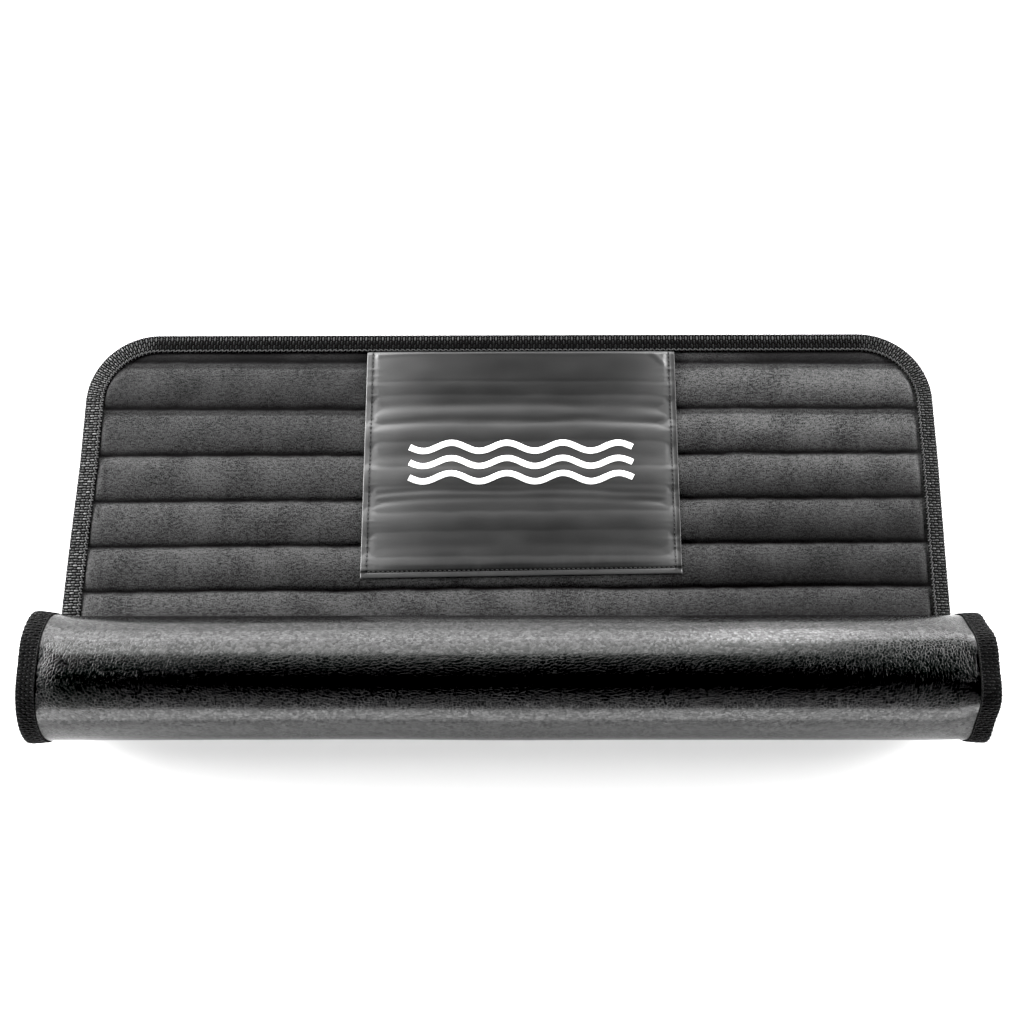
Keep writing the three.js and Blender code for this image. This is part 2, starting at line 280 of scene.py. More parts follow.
# Knitted polyester velour, brushed and sheared: a dark short nap over fine cross ribs, matt with a pale
# bloom where it is seen along the nap. Its tufts are under 0.3 mm, drawn coarser so that they show.
def velourMaterial():
    finish = {"ribPitch": 2.2, "ribLength": 5.0, "ribSlant": 0.03, "nap": 1.25, "blotch": 38.0, "relief": 0.5}
    surface = {"Roughness": 0.92, "Specular IOR Level": 0.1, "Sheen Weight": 0.04, "Sheen Roughness": 0.45,
               "Sheen Tint": colour("#c8c8c8")}
    material, tree, shader, unrolled = newMaterial("brushedVelour", surface)
    stretched = addNode(tree, "ShaderNodeMapping", {"Vector": unrolled}, vector_type="POINT")
    stretched.inputs["Rotation"].default_value = (0, 0, finish["ribSlant"])
    stretched.inputs["Scale"].default_value = (1000 / finish["ribLength"], 1000 / finish["ribPitch"], 1)
    ribs = addNode(tree, "ShaderNodeTexNoise", {"Vector": stretched.outputs[0], "Scale": 1.0, "Detail": 1.0})
    tufts = {"Vector": unrolled, "Scale": 1000 / finish["nap"], "Detail": 2.0}
    fibre = addNode(tree, "ShaderNodeTexNoise", tufts)
    clouds = {"Vector": unrolled, "Scale": 1000 / finish["blotch"], "Detail": 3.0}
    blotch = addNode(tree, "ShaderNodeTexNoise", clouds)
    mixed = addNode(tree, "ShaderNodeMix", {"Factor": 0.66, "A": ribs.outputs[0], "B": fibre.outputs[0]})
    toned = addNode(tree, "ShaderNodeMix", {"Factor": 0.2, "A": mixed.outputs[0], "B": blotch.outputs[0]})
    shade = addNode(tree, "ShaderNodeMapRange", {"Value": toned.outputs[0], "From Min": 0.4, "From Max": 0.6})
    colours = {"Factor": shade.outputs[0], 6: colour("#050505"), 7: colour("#323232")}
    paint = addNode(tree, "ShaderNodeMix", colours, data_type="RGBA")
    # Painted light and shade: this attribute brightens the paint where a channel's slope faces the far lamps,
    # darkens it where a channel ends, and adds a painted sheen across the mat
    paintedTone = addNode(tree, "ShaderNodeAttribute", {}, attribute_name="nap").outputs["Fac"]
    tone = addNode(tree, "ShaderNodeMapRange", {"Value": paintedTone, "To Min": 0.0, "To Max": 2.0})
    lit = addNode(tree, "ShaderNodeVectorMath", {0: paint.outputs[2], 3: tone.outputs[0]}, operation="SCALE")
    # Painted shade: the paint goes near black in the seams, on their ledges and along the border by the tape,
    # where the nap is pressed down and shade falls
    pressedAndShaded = addNode(tree, "ShaderNodeAttribute", {}, attribute_name="pressedAndShaded").outputs["Fac"]
    ends = {"Factor": pressedAndShaded, 6: lit.outputs[0], 7: colour("#060606")}
    flat = addNode(tree, "ShaderNodeMix", ends, data_type="RGBA")
    bump = addNode(tree, "ShaderNodeBump", {"Height": mixed.outputs[0], "Strength": 0.5})
    bump.inputs["Distance"].default_value = finish["relief"] * 0.001
    tree.links.new(flat.outputs[2], shader.inputs["Base Color"])
    tree.links.new(bump.outputs[0], shader.inputs["Normal"])
    return material


# Calendered PVC sheet with an embossed pebble grain: near black, semi-gloss. Flat-topped pebbles keep the
# reflections' edges, and the steep creases between them break them up. The real pebbles are 1 to 1.5 mm
# and too fine to show, so they are drawn coarser.
def vinylMaterial():
    finish = {"pebble": 2.6, "crease": 0.24, "relief": 0.072, "fine": 1.7, "fineShare": 1.0}
    surface = {"Base Color": colour("#030303"), "Roughness": 0.16}
    material, tree, shader, unrolled = newMaterial("pebbledVinyl", surface)
    grain = {"Vector": unrolled, "Scale": 1000 / finish["pebble"]}
    pebble = addNode(tree, "ShaderNodeTexVoronoi", grain, feature="DISTANCE_TO_EDGE")
    edge = {"Value": pebble.outputs["Distance"], "From Max": finish["crease"] / finish["pebble"]}
    crease = addNode(tree, "ShaderNodeMapRange", edge, interpolation_type="SMOOTHSTEP")
    pores = {"Vector": unrolled, "Scale": 1000 / finish["fine"], "Detail": 1.0}
    fine = addNode(tree, "ShaderNodeTexNoise", pores)
    parts = {0: fine.outputs[0], 1: finish["fineShare"], 2: crease.outputs[0]}
    height = addNode(tree, "ShaderNodeMath", parts, operation="MULTIPLY_ADD")
    bump = addNode(tree, "ShaderNodeBump", {"Height": height.outputs[0], "Strength": 1.0})
    bump.inputs["Distance"].default_value = finish["relief"] * 0.001
    cells = addNode(tree, "ShaderNodeTexVoronoi", grain)
    cell = addNode(tree, "ShaderNodeSeparateColor", {"Color": cells.outputs["Color"]})
    uneven = addNode(tree, "ShaderNodeMapRange", {"Value": cell.outputs[0], "To Min": 0.2, "To Max": 0.42})
    # Painted shade: the attribute dims the reflection low on the roll's near side, which mirrors the floor in
    # front where it lies in shade
    reflectionShade = addNode(tree, "ShaderNodeAttribute", {}, attribute_name="reflectionShade").outputs["Fac"]
    gloss = addNode(tree, "ShaderNodeMath", {0: uneven.outputs[0], 1: reflectionShade}, operation="MULTIPLY")
    tree.links.new(gloss.outputs[0], shader.inputs["Specular IOR Level"])
    tree.links.new(bump.outputs[0], shader.inputs["Normal"])
    return material


# Woven polypropylene tape: shiny floats of yarn over a ground that stays in shadow
def tapeMaterials():
    finish = {"fleck": 3.846}
    surface = {"Base Color": colour("#010101"), "Roughness": 0.85, "Specular IOR Level": 0.1}
    ground = newMaterial("tapeGround", surface)[0]
    yarn, tree, shader, unrolled = newMaterial("tapeYarn", {"Roughness": 0.3})
    flecks = {"Vector": unrolled, "Scale": 1000 / finish["fleck"], "Detail": 1.0}
    tone = addNode(tree, "ShaderNodeTexNoise", flecks).outputs[0]
    shade = addNode(tree, "ShaderNodeMapRange", {"Value": tone, "From Min": 0.35, "From Max": 0.65})
    colours = {"Factor": shade.outputs[0], 6: colour("#030303"), 7: colour("#0e0e0e")}
    paint = addNode(tree, "ShaderNodeMix", colours, data_type="RGBA")
    # Painted light and shade: the attribute scales the yarn's shine and, squared, its paint, with each
    # float's own random tone
    paintedLightAndTone = addNode(tree, "ShaderNodeAttribute", {}, attribute_name="paintedLightAndTone").outputs["Fac"]
    gloss = addNode(tree, "ShaderNodeMapRange", {"Value": paintedLightAndTone, "To Max": 0.45})
    square = addNode(tree, "ShaderNodeMath", {0: paintedLightAndTone, 1: paintedLightAndTone}, operation="MULTIPLY").outputs[0]
    lit = addNode(tree, "ShaderNodeVectorMath", {0: paint.outputs[2], 3: square}, operation="SCALE")
    tree.links.new(gloss.outputs[0], shader.inputs["Specular IOR Level"])
    tree.links.new(lit.outputs[0], shader.inputs["Base Color"])
    return [ground, yarn]


# Bonded polyester thread: smooth and slightly glossy, with its twist drawn coarser than the real 0.5 mm
def threadMaterial(name, code):
    finish = {"twist": 1.111, "relief": 0.2}
    surface = {"Base Color": colour(code), "Roughness": 0.5, "Specular IOR Level": 0.25}
    material, tree, shader, unrolled = newMaterial(name, surface)
    plies = {"Vector": unrolled, "Scale": 1000 / finish["twist"], "Detail": 1.0}
    twist = addNode(tree, "ShaderNodeTexNoise", plies)
    bump = addNode(tree, "ShaderNodeBump", {"Height": twist.outputs[0], "Strength": 0.5})
    bump.inputs["Distance"].default_value = finish["relief"] * 0.001
    tree.links.new(bump.outputs[0], shader.inputs["Normal"])
    return material


# Coated satin nylon: a tight flat weave with a soft wide shine. Its threads are about 0.3 mm apart, too
# fine to show, so the weave is drawn coarser.
def nylonMaterial():
    finish = {"weave": 1.5, "cloud": 60.0, "relief": 0.07}
    surface = {"Roughness": 0.43, "Sheen Weight": 0.015, "Sheen Roughness": 0.4}
    material, tree, shader, unrolled = newMaterial("satinNylon", surface)
    threads = {"Vector": unrolled, "Scale": 1000 / finish["weave"], "Detail": 1.0}
    weave = addNode(tree, "ShaderNodeTexNoise", threads)
    clouds = {"Vector": unrolled, "Scale": 1000 / finish["cloud"], "Detail": 2.0}
    cloud = addNode(tree, "ShaderNodeTexNoise", clouds)
    shade = addNode(tree, "ShaderNodeMapRange", {"Value": cloud.outputs[0], "From Min": 0.3, "From Max": 0.7})
    colours = {"Factor": shade.outputs[0], 6: colour("#1a1a1a"), 7: colour("#222222")}
    paint = addNode(tree, "ShaderNodeMix", colours, data_type="RGBA")
    bump = addNode(tree, "ShaderNodeBump", {"Height": weave.outputs[0], "Strength": 0.6})
    bump.inputs["Distance"].default_value = finish["relief"] * 0.001
    # Painted light and shade: the attribute scales the satin's paint and its shine
    paintedSatinLight = addNode(tree, "ShaderNodeAttribute", {}, attribute_name="paintedSatinLight").outputs["Fac"]
    gloss = addNode(tree, "ShaderNodeMath", {0: paintedSatinLight, 1: 0.25}, operation="MULTIPLY")
    lit = addNode(tree, "ShaderNodeVectorMath", {0: paint.outputs[2], 3: paintedSatinLight}, operation="SCALE")
    tree.links.new(gloss.outputs[0], shader.inputs["Specular IOR Level"])
    tree.links.new(lit.outputs[0], shader.inputs["Base Color"])
    tree.links.new(bump.outputs[0], shader.inputs["Normal"])
    return material


# Screen printing ink: flat opaque white that takes a little of the cloth's weave
def inkMaterial():
    finish = {"weave": 1.3, "relief": 0.05}
    surface = {"Base Color": colour("#f0f0ef"), "Roughness": 0.55}
    material, tree, shader, unrolled = newMaterial("screenInk", surface)
    threads = {"Vector": unrolled, "Scale": 1000 / finish["weave"], "Detail": 1.0}
    weave = addNode(tree, "ShaderNodeTexNoise", threads)
    bump = addNode(tree, "ShaderNodeBump", {"Height": weave.outputs[0], "Strength": 0.3})
    bump.inputs["Distance"].default_value = finish["relief"] * 0.001
    tree.links.new(bump.outputs[0], shader.inputs["Normal"])
    return material


# Polyether foam, cut from a block: grey, matt, open cells
def foamMaterial():
    finish = {"cell": 1.25, "relief": 0.4}
    surface = {"Base Color": colour("#6a6a68"), "Roughness": 1.0, "Specular IOR Level": 0.1}
    material, tree, shader, unrolled = newMaterial("openCellFoam", surface)
    cells = addNode(tree, "ShaderNodeTexVoronoi", {"Vector": unrolled, "Scale": 1000 / finish["cell"]})
    bump = addNode(tree, "ShaderNodeBump", {"Height": cells.outputs[0], "Strength": 0.6})
    bump.inputs["Distance"].default_value = finish["relief"] * 0.001
    tree.links.new(bump.outputs[0], shader.inputs["Normal"])
    return material


quilt = {
    "pitch": 50.5,               # from seam to seam
    "firstSeam": 34.2,
    "depth": 3.9,
    "arch": 0.75,                # share of a plain arch in a channel's section
    "roundness": 0.45,           # the rest of it, fuller and with tighter grooves
    "borderSwell": 0.3,          # swell left between the tape and the first seam
    "ledge": 1.6,                # flat strip beside a seam
    "firstLedge": 6.5,
    "secondLedge": 6.5,
    "ledgeUneven": 0.25, "ledgeLength": 60.0,
    "notch": 1.6,                # extra depth right at the stitches
    "notchWidth": 2.9,
    "pucker": 0.35,              # height of the little folds that run into a seam
    "puckerPitch": 9.0, "puckerLength": 30.0,
    "puckerReach": 8.0,
    "slack": 0.3,                # soft unevenness of the crowns
    "slackAcross": 48.0, "slackAlong": 22.0,
    "border": 1.0,               # flat strip beside the tape
    "rise": 9.0,                 # from there to full height
    "seams": 13,
}

# How the real seams stray from even spacing: a bow along the mat, a slant across it and a slow wander
seamStray = {
    "until": 290.0,              # from here on it stays as it is
    "bowMiddle": 2.4, "bow": 5.0, "bowCentre": 150.0, "bowHalf": 135.0,
    "slant": 1.8, "slantFall": 0.029, "slantFrom": 34.0, "slantWidth": 690.0,
    "wander": 0.8, "wanderAcross": 90.0, "wanderAlong": 70.0,
    "ripple": 0.7, "rippleAcross": 15.0,
    "settle": 30.0,              # it dies out over this run before the far and near edges
}

# Painted shade and light on the velour: how dark its seams, their ledges and the border are painted where the
# nap is pressed down and shade falls, and its painted tone on the mat's left, which grows along the mat, and
# on its right, which falls
nap = {
    "seamWidth": 3.2, "seamEven": 0.86, "seamUneven": 0.14, "seamAcross": 22.0, "seamAlong": 70.0,
    "ledge": 0.6, "ledgeFade": 1.5, "leastLedge": 3.0,
    "border": 0.6, "borderUneven": 0.4, "borderPatch": 70.0,
    "left": 0.39, "leftGrows": 0.22, "leftFrom": 50.0, "leftRun": 120.0,
    "right": 0.33, "rightFalls": 0.58, "rightFrom": 75.0, "rightRun": 150.0,
    "rightStart": 60.0, "rightSpan": 220.0,
    "crown": 0.97, "sweep": 0.16, "sweepRight": 0.2,
    "rim": 0.22, "rimFade": 7.0,
    "foot": 0.2, "footFade": 5.0,
    "darkest": 0.04,
}
tape = {
    "width": 19.5,
    "farSpread": 0.12,           # share by which it lies wider along the far edge
    "sideSpread": 0.06,          # wider along the left side, narrower along the right
    "thickness": 1.0,
    "rounding": 2.2,
    "joint": -165.0,             # where its two ends meet, and the gap between them
    "jointGap": 0.3,
    "stationPitch": 5.0,         # between two rings of the ground strip's mesh
    "floatPitch": 5.9,
    "floatLength": 5.0,
    "floatWidth": 1.8,
    "floatHeight": 0.6,
    "floatSunk": 0.6,            # share of its height by which a float's middle lies below the outer face
    "columnPitch": 4.1,
    "unevenAlong": 0.25, "unevenAcross": 0.2,
    "crossYarn": 0.6,            # size and height of the yarn between two floats, as shares of a float's
    "crossYarnRise": 0.15,
    "insideShown": 90.0,         # how far round the curl its inner flap can still be seen
    "dull": 0.85,                # painted shade on the far edge's yarn away from the fold
    "dullFrom": 8.5, "dullFade": 3.0,
    "leftPaintedLight": 3.4, "rightPaintedLight": 1.6,
    "lowPaintedShade": 0.2,
    "unevenShine": 0.35,
}
tapeStitch = {
    "pitch": 2.95,
    "inset": 2.4, "zigzag": 0.6, "length": 3.6, "width": 1.1, "lift": 0.15,
    "lowInset": 1.2, "lowLength": 2.7, "lowWidth": 0.6, "lowLift": -0.3,
}
threadHalf = 0.35                # half a thread's thickness
edgeTop = tape["thickness"] + mat["backing"] + mat["squeezedFoam"] + mat["velour"] + 3 * mat["layerGap"]
tapeTop = edgeTop + 2 * mat["layerGap"] + tape["floatHeight"] + tape["thickness"]


# Stray of a seam from its even place
def stray(u, s):
    run = np.minimum(s, seamStray["until"])
    place = (run - seamStray["bowCentre"]) / seamStray["bowHalf"]
    bow = seamStray["bowMiddle"] - seamStray["bow"] * place**2
    slant = seamStray["slant"] - seamStray["slantFall"] * (run - seamStray["slantFrom"])
    along = s / seamStray["wanderAlong"]
    wander = softNoise(u / seamStray["wanderAcross"], along, 3)
    wander = wander + seamStray["ripple"] * softNoise(u / seamStray["rippleAcross"], along, 4)
    past = np.maximum(np.abs(u) - (halfWidth - corner), 0)
    border = corner - np.sqrt(np.maximum(corner**2 - past**2, 0))
    moved = bow + slant * u / seamStray["slantWidth"] + seamStray["wander"] * wander
    return moved * smooth((np.minimum(s, matLength - s) - border) / seamStray["settle"])


# Distance past the last seam and to the next one, width of the flat ledge past the seam, and its number
def channelPlace(u, s):
    turn = (s - stray(u, s) - quilt["firstSeam"]) / quilt["pitch"]
    seam = np.floor(turn)
    ledge = np.select([seam == 0, seam == 1], [quilt["firstLedge"], quilt["secondLedge"]], quilt["ledge"])
    uneven = softNoise(u / quilt["ledgeLength"], seam * 3.3, 14)
    ledge = ledge * (1 + quilt["ledgeUneven"] * uneven)
    return (turn - seam) * quilt["pitch"], (1 - turn + seam) * quilt["pitch"], ledge, seam


# Swell of a channel from 0 in its grooves to 1: partly a round arch and for the rest a fuller one
def channelSwell(u, s):
    past, _, ledge, seam = channelPlace(u, s)
    arch = np.sin(np.pi * np.clip((past - ledge) / (quilt["pitch"] - ledge), 0, 1))
    swell = quilt["arch"] * arch + (1 - quilt["arch"]) * arch ** quilt["roundness"]
    return np.where(seam < 0, quilt["borderSwell"], 1) * swell


# Distance in from the flat strip beside the tape
def pastBorder(u, s):
    return edgeDistance(u, s) - tape["width"] - quilt["border"]


# Rise from 0 to 1 over a length, steep at first and level at its end: a parabola's half
def roundRise(run, length):
    return 1 - (1 - np.clip(run / length, 0, 1)) ** 2


# Velour's face: swelling channels with a notch at each seam and puckers that run into it, rising from
# the squeezed border at the tape
def velourLevel(u, s):
    toSeam = np.minimum(*channelPlace(u, s)[:2])
    swell = channelSwell(u, s)
    notch = quilt["notch"] * np.exp(-((toSeam / quilt["notchWidth"]) ** 2))
    pucker = softNoise(u / quilt["puckerPitch"], s / quilt["puckerLength"], 11)
    pucker = pucker * np.exp(-toSeam / quilt["puckerReach"])
    slack = softNoise(u / quilt["slackAcross"], s / quilt["slackAlong"], 12) * swell
    crown = crownTop - quilt["depth"] * (1 - swell) - notch
    crown = crown + quilt["pucker"] * pucker + quilt["slack"] * slack
    return edgeTop + (crown - edgeTop) * roundRise(pastBorder(u, s), quilt["rise"])


# How dark the velour is painted, from 0 to 1, for the nap pressed down and for the shade that falls in the
# seams and by the tape: most at a seam, some on its ledge and along the border
def velourPressAndShade(u, s):
    past, ahead, ledge, seam = channelPlace(u, s)
    line = np.exp(-((np.minimum(past, ahead) / nap["seamWidth"]) ** 2))
    uneven = softNoise(u / nap["seamAcross"], s / nap["seamAlong"], 16)
    line = line * (nap["seamEven"] + nap["seamUneven"] * uneven)
    shelf = nap["ledge"] * (1 - smooth((past - ledge) / nap["ledgeFade"])) * (ledge > nap["leastLedge"])
    strip = nap["border"] + nap["borderUneven"] * softNoise(u / nap["borderPatch"], 0, 15)
    return np.clip(np.maximum(np.maximum(line, shelf), np.where(seam < 0, strip, 0)), 0, 1)


# Painted light and shade on the nap, from dark 0 to pale 1: pale where a channel starts down from its far
# seam and faces the far lamps, dark where it ends in shade, and on the right paler far off and darker close
# by, a painted sheen
def velourShading(u, s):
    past, ahead, ledge, _ = channelPlace(u, s)
    place = np.clip((past - ledge) / (quilt["pitch"] - ledge), 0, 1)
    share = smooth((u - nap["rightStart"]) / nap["rightSpan"])
    left = nap["left"] + nap["leftGrows"] * smooth((s - nap["leftFrom"]) / nap["leftRun"])
    right = nap["right"] + nap["rightFalls"] * (1 - smooth((s - nap["rightFrom"]) / nap["rightRun"]))
    base = left + share * (right - left)
    sweep = (nap["sweep"] + nap["sweepRight"] * share) * np.cos(np.pi * place)
    rim = nap["rim"] * np.exp(-np.maximum(past - ledge, 0) / nap["rimFade"])
    foot = nap["foot"] * np.exp(-ahead / nap["footFade"])
    return np.clip(base * (nap["crown"] + sweep) + rim - foot, nap["darkest"], 1)


# The piece moves with the mat and stands for one of the frame's nodes
def finishPiece(piece, node):
    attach(piece, "root")
    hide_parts(node)


# Rows of a channel as shares of its width, close together beside its two seams
nearSeam = [0.02, 0.045, 0.08, 0.12, 0.17, 0.23, 0.3, 0.38, 0.46]
channelShares = np.array([0, *nearSeam, *(1 - share for share in nearSeam[::-1])])


# Rows of a quilted layer: close together at each seam and at the two bound ends
def quiltRows(inset, shares):
    seams = quilt["firstSeam"] + quilt["pitch"] * np.arange(-1, quilt["seams"] + 2)
    ends = inset + np.array([0, 8, 16, 18.2, 19.5, 21, 23, 25])
    rows = np.concatenate([(seams[:, None] + shares * quilt["pitch"]).ravel(), ends, matLength - ends])
    rows = np.sort(rows[(rows >= inset) & (rows <= matLength - inset)])
    least = 0.5
    keep = np.concatenate([[True], np.diff(rows) > least])
    keep[-1] = True
    keep[-2] = rows[-1] - rows[-2] > least
    return rows[keep]


# Shares across the mat: close together at the two sides, even between
def acrossShares(inset, pitch):
    edge = np.array([0, 8, 16, 17.8, 19, 20.5, 22, 24, 26.5, 29.5])
    evenFrom, width = 33, mat["width"] - 2 * inset
    middle = np.linspace(evenFrom, width - evenFrom, int((mat["width"] - 2 * evenFrom) / pitch))
    return np.concatenate([edge, middle, width - edge[::-1]]) / width


# The velour: its face as worked out above, and an underside one thickness lower
def makeVelour():
    inset = tape["thickness"] + mat["layerGap"]
    rows = quiltRows(inset, channelShares)
    half = halfAt(rows, inset)
    underside = lambda u, s: velourLevel(u, s) - mat["velour"]
    top, low = (acrossShares(inset, 3.3), velourLevel), (acrossShares(inset, 36.0), underside)
    values = {"pressedAndShaded": velourPressAndShade, "nap": velourShading}
    piece = makeLayer("velour", rows, -half, half, top, low, stray, velourMaterial(), values)
    finishPiece(piece, "velour_face")


# The foam: it fills what the velour and the vinyl leave between them
def makeFoam():
    inset = tape["thickness"] + 4 * mat["layerGap"]
    rows = quiltRows(inset, channelShares[::3])
    half = halfAt(rows, inset)
    crown = lambda u, s: velourLevel(u, s) - mat["velour"] - mat["layerGap"]
    underside = lambda u, s: backingLift(u, s) + mat["backing"] + mat["layerGap"]
    top, low = (acrossShares(inset, 12.0), crown), (acrossShares(inset, 36.0), underside)
    piece = makeLayer("foam", rows, -half, half, top, low, stray, foamMaterial())
    finishPiece(piece, "foam_core")


backing = {
    "rows": 260,
    "liftFrom": 0.5,             # distance past the tape where it starts down to the ground
    "liftRun": 20.0,
    "dull": 0.75,                # share of the gloss lost low on the roll's near side
    "dullFrom": 0.3, "dullRise": 0.6,
    "dullTo": 1.6, "dullFall": 0.5,
}


# Underside of the vinyl, lifted where it lies on the tape's lower flap
def backingLift(u, s):
    fromTape = edgeDistance(u, s) - tape["width"]
    down = smooth((fromTape - backing["liftFrom"]) / backing["liftRun"])
    return (tape["thickness"] + mat["layerGap"]) * (1 - down)


# Painted shade on the vinyl: its reflection is dimmed low on the roll's near side, which mirrors the shaded
# floor in front
def backingReflectionShade(u, s):
    turn = (s - mat["flatRun"]) / mat["curlRadius"]
    rise = smooth((turn - backing["dullFrom"]) / backing["dullRise"])
    return 1 - backing["dull"] * rise * (1 - smooth((turn - backing["dullTo"]) / backing["dullFall"]))


# The vinyl: an even sheet with its edge lifted on to the tape's lower flap
def makeBacking():
    inset = tape["thickness"] + mat["layerGap"]
    rows = np.linspace(inset, matLength - inset, backing["rows"])
    half = halfAt(rows, inset)
    none = lambda u, s: 0 * u
    inside = lambda u, s: backingLift(u, s) + mat["backing"]
    top, low = (acrossShares(inset, 36.0), inside), (acrossShares(inset, 7.5), backingLift)
    values = {"reflectionShade": backingReflectionShade}
    piece = makeLayer("grainedBacking", rows, -half, half, top, low, none, vinylMaterial(), values)
    finishPiece(piece, "grained_backing")


# Way round the bound edge from the tape's joint: place and inward direction at a distance p
def edgeWay():
    side, run = halfWidth - corner, matLength - 2 * corner
    arc = np.radians(np.arange(0, 90, 1.0))
    u = [tape["joint"], side]
    s = [0.0, 0.0]
    inward = [(0.0, 1.0), (0.0, 1.0)]
    centres = ((side, corner), (side, corner + run), (-side, corner + run), (-side, corner))
    for turn, (cu, cs) in enumerate(centres):
        angle = arc + turn * np.pi / 2
        u += list(cu + corner * np.sin(angle)) + [cu + corner * np.sin((turn + 1) * np.pi / 2)]
        s += list(cs - corner * np.cos(angle)) + [cs - corner * np.cos((turn + 1) * np.pi / 2)]
        inward += list(zip(-np.sin(angle), np.cos(angle)))
        inward.append((-np.sin((turn + 1) * np.pi / 2), np.cos((turn + 1) * np.pi / 2)))
    u.append(tape["joint"])
    s.append(0.0)
    inward.append((0.0, 1.0))
    u, s, inward = np.array(u), np.array(s), np.array(inward)
    distance = np.concatenate([[0], np.cumsum(np.hypot(np.diff(u), np.diff(s)))])
    return distance, u, s, inward[:, 0], inward[:, 1]


way = edgeWay()
wayLength = way[0][-1]


# Place [u, s] and inward direction [u, s] at a distance p along the bound edge
def alongEdge(p):
    return [np.interp(p, way[0], part) for part in way[1:]]


# Outside of the folded tape as depth d, level n and outward direction, at a distance q from the lower
# flap's inner edge: a straight flap, a rounded fold and a straight flap back
def tapeSection():
    r = tape["rounding"]
    arc = np.radians(np.arange(0, 91, 6.0))
    d = np.concatenate([[tape["width"]], r - r * np.sin(arc), r - r * np.cos(arc), [tape["width"]]])
    n = np.concatenate([[0.0], r - r * np.cos(arc), tapeTop - r + r * np.sin(arc), [tapeTop]])
    outD = np.concatenate([[0.0], -np.sin(arc), -np.cos(arc), [0.0]])
    outN = np.concatenate([[-1.0], -np.cos(arc), np.sin(arc), [1.0]])
    q = np.concatenate([[0], np.cumsum(np.hypot(np.diff(d), np.diff(n)))])
    return q, d, n, outD, outN


section = tapeSection()
sectionLength = section[0][-1]


# Point of the tape at p along the edge and q round its section, h out from its outermost face
def onTape(p, q, h):
    u, s, inwardU, inwardS = alongEdge(p)
    d, n, outD, outN = [np.interp(q, section[0], part) for part in section[1:]]
    spread = tape["farSpread"] * np.maximum(inwardS, 0) + tape["sideSpread"] * inwardU
    wide = 1 + spread * (np.asarray(q) > sectionLength / 2)
    depth = d * wide + outD * h
    return np.stack(np.broadcast_arrays(u + inwardU * depth, s + inwardS * depth, n + outN * h), -1)


# Painted light and shade on the yarn, which scales its shine and its paint: full at the fold, painted shade
# on the far edge away from the fold and below the mat, and painted light along the two sides
def tapePaintedLight(p, q):
    inwardU, inwardS = alongEdge(p)[2:]
    fromFold = np.abs(q - sectionLength / 2)
    dull = tape["dull"] * smooth((fromFold - tape["dullFrom"]) / tape["dullFade"]) * np.maximum(inwardS, 0)
    side = tape["leftPaintedLight"] * np.maximum(inwardU, 0) + tape["rightPaintedLight"] * np.maximum(-inwardU, 0)
    return np.where(q < sectionLength / 2, tape["lowPaintedShade"], 1 - dull + side)


# The tape: a ground strip folded round the edge, its outer face sunk by a float's height, and on it
# columns of floats, every second one half a pitch on, with a short cross yarn between two floats. Floats
# that can't be seen have fewer faces.
def makeTape():
    high, outside, inside = tape["floatHeight"], 22, 12
    stations = np.linspace(0, wayLength - tape["jointGap"], int(wayLength / tape["stationPitch"]))
    q = np.concatenate([np.linspace(0, sectionLength, outside), np.linspace(sectionLength, 0, inside)])
    h = np.repeat([-high, -tape["thickness"]], [outside, inside])
    ground = onTape(stations[:, None], q[None, :], h[None, :])
    count, ring = ground.shape[:2]
    index = np.arange(count * ring).reshape(count, ring)
    ahead = np.roll(index, -1, axis=1)
    belts = np.stack([index[:-1], ahead[:-1], ahead[1:], index[1:]], -1).reshape(-1, 4)
    ends = [index[:1, ::-1], index[-1:]]
    columns = int(sectionLength / tape["columnPitch"])
    margin = (sectionLength - (columns - 1) * tape["columnPitch"]) / 2
    perColumn = int(wayLength / tape["floatPitch"])
    column = np.repeat(np.arange(columns), perColumn)
    place = np.tile(np.arange(perColumn), columns) + 0.25 + 0.5 * (column % 2)
    jitter = np.random.default_rng(21).uniform(-1, 1, (3, len(column)))
    p = place * wayLength / perColumn + tape["unevenAlong"] * jitter[0]
    across = margin + column * tape["columnPitch"] + tape["unevenAcross"] * jitter[1]
    points, groups, start = [ground.reshape(-1, 3)], [belts, *ends], count * ring
    paintedLightAndTone = [np.zeros(start)]
    pastFlat = alongEdge(p)[1] - mat["flatRun"]
    shown = np.where(across > sectionLength / 2, pastFlat < tape["insideShown"], pastFlat > 0)
    every = np.full(len(p), True)
    threeRings, oneRing = (-0.62, 0, 0.62), (0,)
    yarns = [(shown, 0, 1, high, threeRings), (~shown, 0, 1, high, oneRing)]
    yarns.append((every, 0.5, tape["crossYarn"], tape["crossYarnRise"] * high, oneRing))
    for picked, shift, share, top, stops in yarns:
        length, width = tape["floatLength"] * share, tape["floatWidth"] * share
        x, y, h, faces = spindles(p[picked] + shift * tape["floatPitch"], across[picked], np.pi / 2,
                                  length, width, -high / 2, top, stops)
        y = np.clip(y, 0.05, sectionLength - 0.05)
        points.append(onTape(x % wayLength, y, h - tape["floatSunk"] * high).reshape(-1, 3))
        # Painted light and shade on each float, times its own random tone
        uneven = 1 + tape["unevenShine"] * np.repeat(jitter[2][picked], x.shape[1])
        paintedLightAndTone.append(tapePaintedLight(x % wayLength, y).ravel() * uneven)
        groups += [group + start for group in faces]
        start += x.size
    kinds = np.concatenate([np.full(len(group), 0 if k < 3 else 1) for k, group in enumerate(groups)])
    worked = {"paintedLightAndTone": np.concatenate(paintedLightAndTone)}
    piece = makePiece("edgeTape", np.concatenate(points), groups, tapeMaterials(), kinds, worked)
    finishPiece(piece, "edge_tape")


